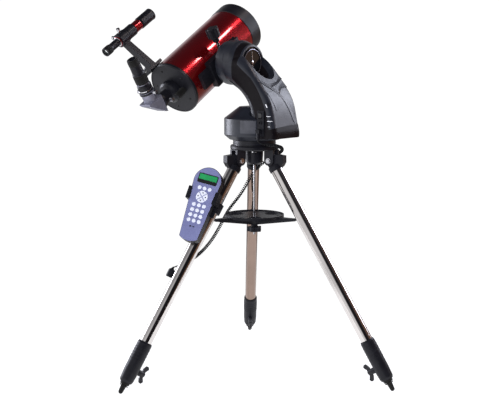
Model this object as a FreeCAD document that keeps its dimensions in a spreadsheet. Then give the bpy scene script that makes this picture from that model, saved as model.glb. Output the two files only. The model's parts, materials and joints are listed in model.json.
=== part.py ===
import FreeCAD, Part
import math
import os

import Sketcher

# Single-arm alt-azimuth mount on a folding tripod, carrying a Maksutov tube and a hand controller.
# Row frame, millimetres: origin on the floor under the azimuth axis, +Z up, +X along the altitude
# axis towards the arm's outer side, +Y the way the tube points.
# Tube frame: x is row X, y is up across the tube, z runs backwards from the rear plate.
# Leg frame: z runs up the leg from the foot, x points outwards, y is sideways.

Vector = FreeCAD.Vector
Rotation = FreeCAD.Rotation
Placement = FreeCAD.Placement

DRIVING = {
    # tripod
    "foot_circle": 401.4, "leg_slope": 0.6114, "leg_heading": 10.7, "pivot_height": 573.0,
    "tube_radius": 15.875, "tube_wall": 1.275, "inner_radius": 12.7, "inner_wall": 1.2,
    "tube_start": 84.0, "tube_end": 651.5, "inner_length": 440.0, "foot_length": 34.0,
    "clamp_radius": 19.25, "clamp_start": 33.0, "clamp_end": 145.0, "screw_height": 68.0,
    "pivot_pin_radius": 4.0, "lug_half_width": 10.0, "ear_thickness": 8.0, "ear_radius": 13.0,
    "running_gap": 0.05, "side_gap": 0.3, "rod_radius": 3.25,
    "hub_radius": 64.0, "hub_top": 612.0, "hub_under": 600.0,
    "tray_height": 424.0, "tray_reach": 123.0, "tray_ring_radius": 79.0, "eyepiece_hole": 16.05,
    # base and arm
    "neck_radius": 56.5, "drum_radius": 80.0, "drum_bottom": 627.0, "drum_shoulder": 684.0,
    "spindle_radius": 20.0, "arm_front": -57.0, "arm_rear": 61.0, "arm_foot": 634.0,
    "altitude_height": 826.6, "altitude_offset": 5.0, "head_radius": 59.0, "head_inner": -94.0,
    "disc_face": -11.0, "well_radius": 42.0, "azimuth_gear_radius": 46.0,
    "altitude_gear_radius": 36.0, "pinion_radius": 7.0, "motor_radius": 12.0,
    # telescope
    "altitude_angle": 31.63, "tube_axis_offset": -190.0, "rear_setback": 132.8,
    "optical_radius": 73.25, "optical_wall": 1.5, "optical_length": 323.0, "front_ring": 43.0,
    "barrel_radius": 15.875, "visual_back_length": 62.0, "eyepiece_station": 87.0,
    "finder_side": -117.0, "finder_up": 151.0, "finder_eye": 62.0, "finder_front": -137.0,
    # hand controller and its cord
    "handset_station": 518.0, "handset_standoff": 36.0, "handset_shift": 22.0,
    "handset_tilt": 8.5, "handset_heading": 287.0, "handset_thickness": 26.0,
    "key_radius": 5.1, "pad_radius": 15.5, "pad_height": 19.5,
    "coil_radius": 5.0, "lead_radius": 2.2,
}

document = FreeCAD.newDocument("telescope_mount")
sheet = document.addObject("Spreadsheet::Sheet", "dims")
for row, (alias, value) in enumerate(DRIVING.items(), start=1):
    sheet.set(f"A{row}", alias)
    sheet.set(f"B{row}", str(value))
    sheet.setAlias(f"B{row}", alias)
document.recompute()


class Size:
    """A length that knows both its value and the sheet expression that gives it."""

    def __init__(self, value, text):
        self.value = value
        self.text = text

    def combine(self, other, sign, value):
        return Size(value, f"({self.text} {sign} {size(other).text})")

    def __add__(self, other):
        return self.combine(other, "+", self.value + size(other).value)

    def __sub__(self, other):
        return self.combine(other, "-", self.value - size(other).value)

    def __mul__(self, other):
        return self.combine(other, "*", self.value * size(other).value)

    def __neg__(self):
        return self * -1.0


def size(number):
    """Wrap a bare number as a Size."""
    return number if isinstance(number, Size) else Size(float(number), repr(float(number)))


def dim(alias):
    """Read one driving dimension from the sheet."""
    return Size(float(sheet.get(alias)), f"dims.{alias}")


nodes = []


def node(feature, label):
    """Name a finished sub-part; its label is its node name."""
    feature.Label = label
    nodes.append(feature)
    return feature


# ---------------------------------------------------------------- sketches and features

def origin_plane(body, role):
    return next(plane for plane in body.Origin.OriginFeatures if plane.Role == role)


def new_body():
    return document.addObject("PartDesign::Body", "body")


def new_sketch(body, role, lift=0.0):
    sketch = body.newObject("Sketcher::SketchObject", "sketch")
    sketch.AttachmentSupport = [(origin_plane(body, role), "")]
    sketch.MapMode = "FlatFace"
    sketch.AttachmentOffset = Placement(Vector(0, 0, lift), Rotation())
    return sketch


def outline(body, role, corners, lift=0.0):
    """Closed outline; a corner (x, y, mx, my) is reached by an arc through (mx, my)."""
    sketch = new_sketch(body, role, lift)
    corners = [tuple(size(value) for value in corner) for corner in corners]
    ends = [Vector(corner[0].value, corner[1].value, 0) for corner in corners]
    for index, start in enumerate(ends):
        following = (index + 1) % len(ends)
        target = corners[following]
        if len(target) == 4:
            middle = Vector(target[2].value, target[3].value, 0)
            sketch.addGeometry(Part.Arc(start, middle, ends[following]), False)
        else:
            sketch.addGeometry(Part.LineSegment(start, ends[following]), False)
    for index, corner in enumerate(corners):
        if len(corners[(index + 1) % len(corners)]) == 4 or len(corner) == 4:
            continue
        for axis, kind in enumerate(("DistanceX", "DistanceY")):
            if abs(corner[axis].value) < 1e-9:
                continue
            number = sketch.addConstraint(
                Sketcher.Constraint(kind, -1, 1, index, 1, corner[axis].value))
            if "dims" in corner[axis].text:
                sketch.setExpression(f"Constraints[{number}]", corner[axis].text)
    return sketch


def circles(body, role, rings, lift=0.0):
    """Sketch of circles (x, y, radius)."""
    sketch = new_sketch(body, role, lift)
    for x, y, radius in rings:
        x, y, radius = size(x), size(y), size(radius)
        edge = sketch.addGeometry(
            Part.Circle(Vector(x.value, y.value, 0), Vector(0, 0, 1), radius.value), False)
        number = sketch.addConstraint(Sketcher.Constraint("Radius", edge, radius.value))
        if "dims" in radius.text:
            sketch.setExpression(f"Constraints[{number}]", radius.text)
    return sketch


def revolve(body, sketch, cut=False):
    kind = "PartDesign::Groove" if cut else "PartDesign::Revolution"
    feature = body.newObject(kind, "turned")
    feature.Profile = sketch
    feature.ReferenceAxis = (sketch, ["V_Axis"])
    feature.Angle = 360
    sketch.Visibility = False
    document.recompute()
    return feature


def extrude(body, sketch, length, cut=False, middle=False, back=False):
    """Pad or pocket; a cut must remove material."""
    before = body.Shape.Volume if cut else 0.0
    feature = body.newObject("PartDesign::Pocket" if cut else "PartDesign::Pad", "extruded")
    feature.Profile = sketch
    feature.Midplane = middle
    feature.Reversed = back
    length = size(length)
    feature.Length = length.value
    if "dims" in length.text:
        feature.setExpression("Length", length.text)
    document.recompute()
    if cut and body.Shape.Volume > before - 1e-3:
        raise RuntimeError("a pocket cut nothing")
    return feature


def around(body, features, count):
    """Repeat features around the body's Z axis."""
    pattern = body.newObject("PartDesign::PolarPattern", "pattern")
    pattern.Originals = features
    axis = next(line for line in body.Origin.OriginFeatures if line.Role == "Z_Axis")
    pattern.Axis = (axis, [""])
    pattern.Angle = 360
    pattern.Occurrences = count
    body.Tip = pattern
    document.recompute()
    return pattern


def turned(corners):
    body = new_body()
    revolve(body, outline(body, "XZ_Plane", corners))
    return body


def prism(role, corners, length, middle=False, back=False, lift=0.0):
    body = new_body()
    extrude(body, outline(body, role, corners, lift), length, middle=middle, back=back)
    return body


def block(low, high):
    """Box between two corners."""
    box = document.addObject("Part::Box", "block")
    low, high = [size(v) for v in low], [size(v) for v in high]
    for name, start, end in zip(("Length", "Width", "Height"), low, high):
        setattr(box, name, (end - start).value)
        if "dims" in (end - start).text:
            box.setExpression(name, (end - start).text)
    box.Placement.Base = Vector(*(v.value for v in low))
    return box


def rod(radius, length, base, direction=Vector(0, 0, 1)):
    """Plain cylinder from a base point along a direction."""
    cylinder = document.addObject("Part::Cylinder", "rod")
    for name, value in (("Radius", size(radius)), ("Height", size(length))):
        setattr(cylinder, name, value.value)
        if "dims" in value.text:
            cylinder.setExpression(name, value.text)
    cylinder.Placement = Placement(Vector(*base), Rotation(Vector(0, 0, 1), direction))
    return cylinder


def fuse(*shapes):
    joined = document.addObject("Part::MultiFuse", "joined")
    joined.Shapes = list(shapes)
    return joined


def cut(base, *tools):
    """Base minus each tool in turn, checked to have removed something."""
    document.recompute()
    whole = base.Shape.Volume
    for tool in tools:
        result = document.addObject("Part::Cut", "cut")
        result.Base = base
        result.Tool = tool
        document.recompute()
        base = result
    if result.Shape.Volume > whole - 1e-3:
        raise RuntimeError("a cut removed nothing")
    return result


def common(first, second):
    result = document.addObject("Part::Common", "shared")
    result.Base = first
    result.Tool = second
    document.recompute()
    return result


def together(*pieces):
    """Pieces of one kind kept as separate solids of one node."""
    group = document.addObject("Part::Compound", "group")
    group.Links = list(pieces)
    return group


def place(feature, frame, at=(0, 0, 0), turn=Rotation()):
    feature.Placement = frame.multiply(Placement(Vector(*at), turn))
    return feature


ALONG_X = Rotation(Vector(0, 0, 1), Vector(1, 0, 0))
ALONG_Y = Rotation(Vector(0, 0, 1), Vector(0, 1, 0))
ROW = Placement()


# ---------------------------------------------------------------- frames

slope = math.atan(dim("leg_slope").value)
pivot_height = dim("pivot_height")
pivot_reach = dim("foot_circle") - dim("leg_slope") * pivot_height
pivot_station = pivot_height.value / math.cos(slope)
leg_headings = [dim("leg_heading").value + 120.0 * index for index in (1, 2, 0)]
altitude = math.radians(dim("altitude_angle").value)
axis_y = dim("altitude_offset")
axis_z = dim("altitude_height")


def leg_frame(heading):
    reach = dim("foot_circle").value
    angle = math.radians(heading)
    turn = Rotation(Vector(0, 0, 1), heading).multiply(
        Rotation(Vector(0, 1, 0), -math.degrees(slope)))
    return Placement(Vector(reach * math.cos(angle), reach * math.sin(angle), 0), turn)


setback = dim("rear_setback").value
tube_frame = Placement(
    Vector(dim("tube_axis_offset").value,
           axis_y.value - setback * math.cos(altitude),
           axis_z.value - setback * math.sin(altitude)),
    Rotation(Vector(1, 0, 0), 90.0 + math.degrees(altitude)))


def handset_frame():
    leg = leg_frame(leg_headings[1])
    up = leg.Rotation.multVec(Vector(0, 0, 1))
    heading = math.radians(dim("handset_heading").value)
    facing = Vector(math.cos(heading), math.sin(heading), 0)
    facing = (facing - up * facing.dot(up)).normalize()
    sideways = facing.cross(up)
    tilt = math.radians(dim("handset_tilt").value)
    long_axis = up * math.cos(tilt) + sideways * math.sin(tilt)
    right = facing.cross(long_axis) * -1.0
    centre = (leg.multVec(Vector(0, 0, dim("handset_station").value))
              + facing * dim("handset_standoff").value
              + sideways * dim("handset_shift").value)
    return Placement(centre, Rotation(right, facing * -1.0, long_axis, "ZYX"))


# ---------------------------------------------------------------- tripod

def make_hub():
    rod_bore, rim, under = dim("rod_radius"), dim("hub_radius"), dim("hub_under")
    top = dim("hub_top")
    body = new_body()
    revolve(body, outline(body, "XZ_Plane", [
        (rod_bore, 560), (16, 560), (22, 566), (24, under), (rim - 2, under),
        (rim, under + 3), (rim, top - 3), (rim - 2, top), (rod_bore, top)]))
    ear = dim("ear_radius")
    lug = dim("lug_half_width") + dim("side_gap")
    ears = extrude(body, outline(body, "XZ_Plane", [
        (pivot_reach - ear, under + 1), (pivot_reach - ear, pivot_height),
        (pivot_reach + ear, pivot_height, pivot_reach, pivot_height - ear),
        (pivot_reach + ear, under + 1)]), (lug + dim("ear_thickness")) * 2, middle=True)
    around(body, [ears], 3)
    slot = extrude(body, outline(body, "XZ_Plane", [
        (30, pivot_height - ear - 2), (70, pivot_height - ear - 2), (70, under), (30, under)]),
        lug * 2, cut=True, middle=True)
    around(body, [slot], 3)
    holes = extrude(body, circles(body, "XZ_Plane", [
        (pivot_reach, pivot_height, dim("pivot_pin_radius"))]), 60, cut=True, middle=True)
    around(body, [holes], 3)
    node(place(body, ROW, turn=Rotation(Vector(0, 0, 1), dim("leg_heading").value)), "hub")


def make_hub_bolts():
    half = dim("lug_half_width") + dim("side_gap") + dim("ear_thickness")
    bolts = []
    for heading in leg_headings:
        body = new_body()
        revolve(body, outline(body, "XZ_Plane", [
            (0, -half - 3), (7, -half - 3), (7, -half), (dim("pivot_pin_radius"), -half),
            (dim("pivot_pin_radius"), half), (7, half), (7, half + 3), (0, half + 3)]))
        bolts.append(place(body, leg_frame(heading), (0, 0, pivot_station), ALONG_Y))
    node(together(*bolts), "hub_bolts")


def make_centre_rod():
    low = 372.0
    node(rod(dim("rod_radius"), 240.0, (0, 0, low)), "centre_rod")


def make_tray():
    level, ring, reach = dim("tray_height"), dim("tray_ring_radius"), dim("tray_reach")
    bore = dim("rod_radius") + dim("running_gap") * 2
    body = new_body()
    revolve(body, outline(body, "XZ_Plane", [
        (bore, level - 26), (9, level - 26), (15, level - 10), (30, level - 5), (ring, level - 5),
        (ring, level + 3), (ring - 2, level + 3), (ring - 2, level), (bore, level)]))
    rib = extrude(body, outline(body, "XZ_Plane", [
        (4.5, level - 25), (9, level - 25), (reach - 4, level - 8),
        (reach - 4, level - 2, reach, level - 5), (4.5, level - 1)]), 9, middle=True)
    around(body, [rib], 3)
    arm = extrude(body, outline(body, "XY_Plane", [
        (10, -14), (reach - 6, -6), (reach - 6, 6, reach, 0), (10, 14)], level.value - 4), 3)
    around(body, [arm], 3)
    hole = extrude(body, circles(body, "XY_Plane", [
        (27, 46.77, dim("eyepiece_hole")), (56.3, 26.2, 6), (5.4, 61.8, 6)], level.value + 5),
        40, cut=True)
    around(body, [hole], 3)
    node(place(body, ROW, turn=Rotation(Vector(0, 0, 1), dim("leg_heading").value)), "tray")


def lobed_knob(corners, lobe_at, lobe_radius, low, height, count):
    """Turned core with round lobes around it, along local Z."""
    body = turned(corners)
    lobe = extrude(body, circles(body, "XY_Plane", [(lobe_at, 0, lobe_radius)], low), height)
    around(body, [lobe], count)
    return body


def make_tray_knob():
    top = dim("tray_height").value - 26.3
    bore = dim("rod_radius") + dim("running_gap") * 2
    knob = lobed_knob([
        (bore, top - 18), (14, top - 18), (15, top - 17), (15, top - 5), (9, top - 4),
        (9, top), (bore, top)], 14.5, 6, top - 17, 12, 5)
    node(place(knob, ROW), "tray_knob")


def make_leg(number, heading):
    frame = leg_frame(heading)
    tube, wall, inner = dim("tube_radius"), dim("tube_wall"), dim("inner_radius")
    gap = dim("running_gap")
    start, screw_at = dim("tube_start"), dim("screw_height")
    low, high, outer = dim("clamp_start"), dim("clamp_end"), dim("clamp_radius")
    lug, ear = dim("lug_half_width"), dim("ear_radius") - 1
    foot = dim("foot_length")

    crown = pivot_station - 16.5
    eye_top = pivot_station + ear.value
    eye_side = pivot_station + ear.value * 0.7071
    head = turned([(tube, crown - 14.5), (tube + 2.5, crown - 13.5), (tube + 2.5, crown - 1.5),
                   (tube + 1, crown), (0, crown), (0, dim("tube_end")), (tube, dim("tube_end"))])
    extrude(head, outline(head, "XZ_Plane", [
        (-ear, crown - 1.5), (-ear, pivot_station), (0, eye_top, -ear * 0.7071, eye_side),
        (15, crown + 28), (40, crown + 8.5), (31, crown - 7), (19, crown - 13.5),
        (tube + 0.4, crown - 1.5)]), lug * 2, middle=True)
    extrude(head, circles(head, "XZ_Plane", [
        (0, pivot_station, dim("pivot_pin_radius") + gap)]), 60, cut=True, middle=True)
    node(place(head, frame), f"leg_{number}_head")

    outer_tube = turned([(tube - wall, start), (tube, start), (tube, dim("tube_end")),
                         (tube - wall, dim("tube_end"))])
    node(place(outer_tube, frame), f"leg_{number}_tube")

    clamp = turned([(inner + gap, low), (15.5, low), (18, low + 6), (outer, 62), (outer, high - 5),
                    (17.5, high), (tube, high), (tube, start), (inner + gap, start)])
    extrude(clamp, circles(clamp, "YZ_Plane", [(0, screw_at, 8)], -27), 11)
    extrude(clamp, circles(clamp, "YZ_Plane", [(0, screw_at, 3 + gap.value)], -30), 19, cut=True,
            back=True)
    node(place(clamp, frame), f"leg_{number}_clamp")

    screw = turned([(0, 13.1), (3, 13.1), (3, 27.3), (7, 27.3), (7, 38), (5, 40), (0, 40)])
    extrude(screw, outline(screw, "XZ_Plane", [
        (0, 30), (12, 30), (20, 34), (22, 42, 23, 37), (17, 45), (8, 39), (-8, 39), (-17, 45),
        (-22, 42), (-20, 34, -23, 37), (-12, 30)]), 5, middle=True)
    node(place(screw, frame, (0, 0, screw_at.value), Rotation(Vector(0, 0, 1), Vector(-1, 0, 0))),
         f"leg_{number}_screw")

    inner_end = foot + dim("inner_length")
    bush = tube - wall - gap
    inner_tube = turned([(inner - dim("inner_wall"), foot), (inner, foot), (inner, inner_end - 20),
                         (bush, inner_end - 18), (bush, inner_end),
                         (inner - dim("inner_wall"), inner_end)])
    node(place(inner_tube, frame), f"leg_{number}_inner")

    ball = 6.0
    ball_at = ball / math.cos(slope)
    rubber = turned([(0, ball_at - ball), (ball, ball_at, ball * 0.7071, ball_at - ball * 0.7071),
                     (7.5, 26), (inner, 29), (inner, foot), (inner - dim("inner_wall"), foot),
                     (inner - dim("inner_wall"), foot + 16), (0, foot + 16)])
    node(place(rubber, frame), f"leg_{number}_foot")


# ---------------------------------------------------------------- base and arm

def make_base_plate():
    neck, top, spindle = dim("neck_radius"), dim("hub_top"), dim("spindle_radius")
    bottom = dim("drum_bottom")
    node(turned([(0, top), (neck, top), (neck, bottom - 2), (neck - 1.5, bottom - 0.3),
                 (spindle, bottom - 0.3), (spindle, bottom + 42), (0, bottom + 42)]), "base_plate")
    gear = dim("azimuth_gear_radius")
    node(turned([(spindle, bottom + 18), (gear, bottom + 18), (gear, bottom + 26),
                 (spindle, bottom + 26)]), "azimuth_gear")


# Stations up the arm: inner and outer point (x, z), inner and outer corner radius.
ARM_STATIONS = [
    ((30.2, 634), (107, 634), 8, 14), ((30.2, 655), (106, 656), 8, 14),
    ((29, 686), (99.5, 685), 12, 15), ((18, 718), (87, 729), 18, 15),
    ((-4, 742), (62, 768), 26, 16), ((-30, 758), (25, 813), 36, 20),
    ((-48, 766), (-18, 851), 40, 36), ((-64, 772), (-64, 878), 50, 50)]


def arm_section(body, inner, outer, inner_radius, outer_radius):
    """Rounded rectangle across the arm, from its inner to its outer point."""
    inner, outer = Vector(inner[0], 0, inner[1]), Vector(outer[0], 0, outer[1])
    across = outer - inner
    lean = math.atan2(across.z, across.x)
    rise = (inner.z - dim("arm_foot").value) / (axis_z.value - dim("arm_foot").value)
    front = dim("arm_front").value * (1 - rise) + (axis_y - dim("head_radius")).value * rise
    rear = dim("arm_rear").value * (1 - rise) + (axis_y + dim("head_radius")).value * rise
    depth, ri, ro = across.Length, inner_radius, outer_radius
    sketch = new_sketch(body, "XY_Plane")
    sketch.AttachmentOffset = Placement(inner, Rotation(Vector(0, 1, 0), -math.degrees(lean)))
    corners = [(ri, front + ri, ri, 180), (depth - ro, front + ro, ro, 270),
               (depth - ro, rear - ro, ro, 0), (ri, rear - ri, ri, 90)]
    arcs = []
    for x, y, radius, start in corners:
        circle = Part.Circle(Vector(x, y, 0), Vector(0, 0, 1), radius)
        begin = math.radians(start)
        arcs.append(Part.ArcOfCircle(circle, begin, begin + math.pi / 2))
    for arc, following in zip(arcs, arcs[1:] + arcs[:1]):
        sketch.addGeometry(arc, False)
        sketch.addGeometry(Part.LineSegment(arc.EndPoint, following.StartPoint), False)
    return sketch


def arm_body():
    """The whole arm: a loft up its stations, joined to the turned head."""
    body = new_body()
    sections = [arm_section(body, *station) for station in ARM_STATIONS]
    loft = body.newObject("PartDesign::AdditiveLoft", "loft")
    loft.Profile = sections[0]
    loft.Sections = sections[1:]
    radius, inner_end = dim("head_radius"), dim("head_inner")
    well, face = dim("well_radius"), dim("disc_face")
    head = turned([
        (0, inner_end), (radius - 9, inner_end),
        (radius - 1, inner_end + 6, radius - 3.5, inner_end + 1.5), (radius, inner_end + 14),
        (radius, -48), (radius - 5, -33, radius - 1, -40), (well + 6, -17, well + 9.5, -24),
        (well + 4.5, face + 0.5), (well, face + 1), (0, face + 1)])
    place(head, ROW, (0, axis_y.value, axis_z.value), ALONG_X)
    return fuse(body, head)


def make_arm():
    head, wall = dim("head_radius"), 6.0
    full = arm_body()
    centre = (0, axis_y.value, axis_z.value)
    well = rod(dim("well_radius"), 100, (dim("disc_face").value - 5, centre[1], centre[2]),
               Vector(1, 0, 0))
    head_room = fuse(rod(head - wall, 32, (-80, centre[1], centre[2]), Vector(1, 0, 0)),
                     rod(dim("well_radius") - 2, 27, (-49, centre[1], centre[2]), Vector(1, 0, 0)))
    arm_room = prism("XZ_Plane", [
        (36, 640), (101, 645), (97, 670), (80, 712), (56, 748), (36, 770), (-40, 790),
        (-50, 779), (-8, 757), (24, 724), (36, 690)], 96, lift=-50)
    bearing = rod(dim("spindle_radius") + dim("running_gap"), 20, (-97, centre[1], centre[2]),
                  Vector(1, 0, 0))
    gear_room = rod(dim("azimuth_gear_radius") + 1.5, 12, (0, 0, (dim("drum_bottom") + 16).value))
    hollow = cut(full, well, head_room, arm_room, bearing, gear_room)
    inner_side = prism("XZ_Plane", [
        (-33, 900), (-33, 786), (-18, 771), (46, 692, 21, 742), (46, 620), (-120, 620),
        (-120, 900)], 160, middle=True)
    crown = rod(head + 1, 120, (-136, centre[1], centre[2]), Vector(1, 0, 0))
    outer_side = cut(prism("XZ_Plane", [
        (92, 620), (92, 655), (30, 788, 68, 734), (-16, 823), (-55, 900), (140, 900), (140, 620)],
        160, middle=True), crown)
    panel_seat = block((56, -70, 641), (78, dim("arm_front") + 6, 706))
    node(common(hollow, inner_side), "arm_inner")
    node(cut(cut(hollow, inner_side), outer_side, panel_seat), "arm_shell")
    node(common(hollow, outer_side), "arm_cover")


def make_drum():
    bottom, rim, shoulder = dim("drum_bottom"), dim("drum_radius"), dim("drum_shoulder")
    bore = dim("spindle_radius") + dim("running_gap")
    shell = turned([
        (bore, bottom), (66, bottom), (rim - 1, bottom + 11), (rim, bottom + 14),
        (rim, shoulder - 2), (rim - 2, shoulder), (40, 713), (0, 716), (0, 711), (38, 708),
        (rim - 5, shoulder - 3), (rim - 5, bottom + 14), (64, bottom + 5), (bore, bottom + 5)])
    room = 1
    width = dim("arm_rear") - dim("arm_front") + 2 * room
    notch = prism("XZ_Plane", [
        (29.9, dim("arm_foot")), (29.9, 680), (27, 694), (16.5, 718), (16.5, 760), (120, 760),
        (120, dim("arm_foot"))], width, lift=-(dim("arm_rear") + room).value)
    node(cut(shell, notch), "base_drum")


def make_head_disc():
    face = dim("disc_face")
    disc = turned([(0, -5), (41.5, -5), (41.5, -3.5), (36, -3.5), (36, 1.5), (33, 1.5), (33, 0),
                   (0, 0)])
    node(place(disc, ROW, (face.value, axis_y.value, axis_z.value), ALONG_X), "head_disc")


def make_ports():
    front = dim("arm_front")
    plate = block((56.2, front - 3, 641.2), (77.8, front + 6, 705.8))
    switch_seat = block((60.7, front - 5, 684.7), (71.3, front + 8, 701.3))
    jack_hole = rod(2.75, 8, (66, (front - 5).value, 675), Vector(0, 1, 0))
    jack_ring = cut(rod(5, 2, (66, (front - 5).value, 675), Vector(0, 1, 0)),
                    rod(2.75, 3, (66, (front - 5.5).value, 675), Vector(0, 1, 0)))
    hand_port = block((59.5, front - 5, 647), (72.5, front + 3, 659))
    node(fuse(cut(plate, switch_seat, jack_hole, hand_port), jack_ring), "port_panel")

    rocker = prism("YZ_Plane", [
        (front + 1, 688.5, front + 5.5, 693), (front - 1, 686.2), (front - 5.2, 686.6),
        (front - 5.2, 699.4, front - 3.4, 693), (front - 1, 699.8), (front + 1, 697.5)],
        10, lift=61)
    node(rocker, "power_switch")


def make_drives():
    gear, pinion = dim("azimuth_gear_radius"), dim("pinion_radius")
    bottom = dim("drum_bottom")
    reach = (gear + pinion + dim("side_gap")).value
    angle = math.radians(225)
    x, y = reach * math.cos(angle), reach * math.sin(angle)
    level = bottom.value + 18
    pinion_outline = [(0, 0), (pinion, 0), (pinion, 8), (2.5, 8), (2.5, 11), (0, 11)]
    node(place(turned(pinion_outline), ROW, (x, y, level)), "azimuth_pinion")
    azimuth_motor = cut(rod(dim("motor_radius"), 27, (x, y, level + 10)),
                        rod(2.55, 3, (x, y, level + 9.5)))

    wheel = dim("altitude_gear_radius")
    shaft = dim("spindle_radius")
    axle = turned([(0, -97), (shaft + 4, -97), (shaft + 4, -94.3), (shaft, -94.3), (shaft, -79),
                   (wheel, -79), (wheel, -71), (14, -71), (14, -60), (0, -60)])
    node(place(axle, ROW, (0, axis_y.value, axis_z.value), ALONG_X), "altitude_gear")
    drop = (wheel + pinion + dim("side_gap")).value
    lean = math.radians(30)
    side = axis_y.value + drop * math.sin(lean)
    low = axis_z.value - drop * math.cos(lean)
    node(place(turned(pinion_outline), ROW, (-79, side, low), ALONG_X), "altitude_pinion")
    altitude_motor = cut(rod(8, 19, (-68.9, side, low), Vector(1, 0, 0)),
                         rod(2.55, 3, (-69.5, side, low), Vector(1, 0, 0)))
    node(together(azimuth_motor, altitude_motor), "drive_motors")
    node(block((50, -44, 650), (52, 44, 735)), "circuit_board")


# ---------------------------------------------------------------- telescope

def make_saddle():
    """Saddle plate with two jaws on the altitude shaft's flange."""
    flange, near = 87.0, 84.5
    plate = block((near, -36, -205), (flange + 6, 36, -70))
    shaft_hub = rod(46, 6, (flange, 0, -setback), Vector(1, 0, 0))
    jaw = 73.6
    upper = prism("XY_Plane", [(near, 20.6), (near, 36), (jaw + 1, 36), (jaw + 1, 23.6)], 135,
                  lift=-205)
    lower = prism("XY_Plane", [(near, -20.6), (jaw + 1, -23.6), (jaw + 1, -36), (near, -36)], 135,
                  lift=-205)
    knob_bore = rod(4.05, 18, (79.5, 19, -138), Vector(0, 1, 0))
    saddle = cut(fuse(plate, shaft_hub, upper, lower), knob_bore)
    node(place(saddle, tube_frame), "saddle")

    bar = prism("XY_Plane", [
        (72.9, -15), (74.2, -22.6), (near - 0.2, -19.6), (near - 0.2, 19.6), (74.2, 22.6),
        (72.9, 15)], 180, lift=-213)
    shave = rod(dim("optical_radius"), 340, (0, 0, -330))
    node(place(cut(bar, shave), tube_frame), "dovetail_bar")

    knob = lobed_knob([
        (0, 23.5), (4, 23.5), (4, 60), (8, 62), (9, 72), (13, 76), (13, 100), (11, 103), (0, 103)],
        12, 6, 76, 25, 5)
    node(place(knob, tube_frame, (79.5, 0, -138), Rotation(Vector(0, 0, 1), Vector(0, 1, 0))),
         "saddle_knob")


def make_optical_tube():
    outer, wall = dim("optical_radius"), dim("optical_wall")
    front = -dim("optical_length")
    ring = front + dim("front_ring")
    inside = outer - wall
    node(place(turned([(inside, ring), (outer, ring), (outer, -10), (inside, -10)]), tube_frame),
         "ota_tube")
    node(place(turned([
        (64, front), (outer - 1, front), (outer + 1.5, front + 2.5), (outer + 1.5, ring - 1),
        (outer + 0.5, ring), (inside, ring), (inside, ring + 12), (66, ring + 12), (66, front + 17),
        (62, front + 17), (62, front + 15), (64, front + 15)]), tube_frame), "front_cell")
    node(place(turned([
        (0, front + 7), (64, front + 2, 34, front + 5.7), (64, front + 14.9), (61.8, front + 14.9),
        (0, front + 19)]),
        tube_frame), "corrector")
    rear = turned([
        (14, -150), (16, -150), (16, -10), (outer + 1.25, -10), (outer + 1.25, -3),
        (outer - 1, -1), (30, 2), (16.2, 2), (16.2, -4), (14, -4)])
    extrude(rear, circles(rear, "XY_Plane", [(40, 0, 3.05)], 5), 30, cut=True)
    node(place(rear, tube_frame), "rear_cell")
    node(place(turned([(16.3, -34), (66, -27, 42, -31.6), (66, -18), (16.3, -18)]), tube_frame),
         "primary_mirror")
    knob = turned([(0, -14), (3, -14), (3, 1.8), (8.5, 2), (8.5, 32), (7, 34), (0, 34)])
    node(place(knob, tube_frame, (40, 0, 0)), "focus_knob")


def make_back_end():
    nose, barrel = dim("visual_back_length"), dim("barrel_radius")
    back = turned([(barrel + 0.05, 2.2), (30, 2.2), (30, 20), (25, 26), (18, 28), (18, nose - 8),
                   (21, nose - 7), (21, nose), (barrel + 0.05, nose)])
    screw = rod(2.5, 16, (17, 0, nose.value - 14), Vector(1, 0, 0))
    head = rod(5, 9, (28, 0, nose.value - 14), Vector(1, 0, 0))
    trimmed = cut(fuse(screw, head), rod(barrel + 2, 40, (0, 0, 30)))
    node(place(fuse(back, trimmed), tube_frame), "visual_back")

    station = dim("eyepiece_station")
    flank = prism("YZ_Plane", [
        (-27, nose + 0.3), (-24, nose + 0.3), (24, nose + 0.3), (24, nose + 50), (21, nose + 51)],
        38, middle=True)
    nose_tube = rod(barrel, 36, (0, 0, nose.value - 30))
    holder = rod(18, 30, (0, 22, station.value), Vector(0, 1, 0))
    collar = rod(20, 8, (0, 44, station.value), Vector(0, 1, 0))
    side_screw = rod(2.5, 12, (17, 48, station.value), Vector(1, 0, 0))
    side_head = rod(5, 8, (26, 48, station.value), Vector(1, 0, 0))
    light_in = rod(13.5, nose.value - 2, (0, 0, nose.value - 31))
    light_out = rod(13.5, 40, (0, 0, station.value), Vector(0, 1, 0))
    seat = rod(barrel + 0.05, 30, (0, 26, station.value), Vector(0, 1, 0))
    solid = fuse(flank, nose_tube, holder, collar, side_screw, side_head)
    node(place(cut(solid, light_in, light_out, seat), tube_frame), "star_diagonal")

    eyepiece = turned([(12, 26.5), (barrel, 26.5), (barrel, 52.3), (19, 52.3), (19, 70), (17, 74),
                       (17, 104), (15.5, 108), (14.5, 146), (9, 146), (9, 140), (12, 134)])
    node(place(eyepiece, tube_frame, (0, 0, station.value), ALONG_Y), "eyepiece")


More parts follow.
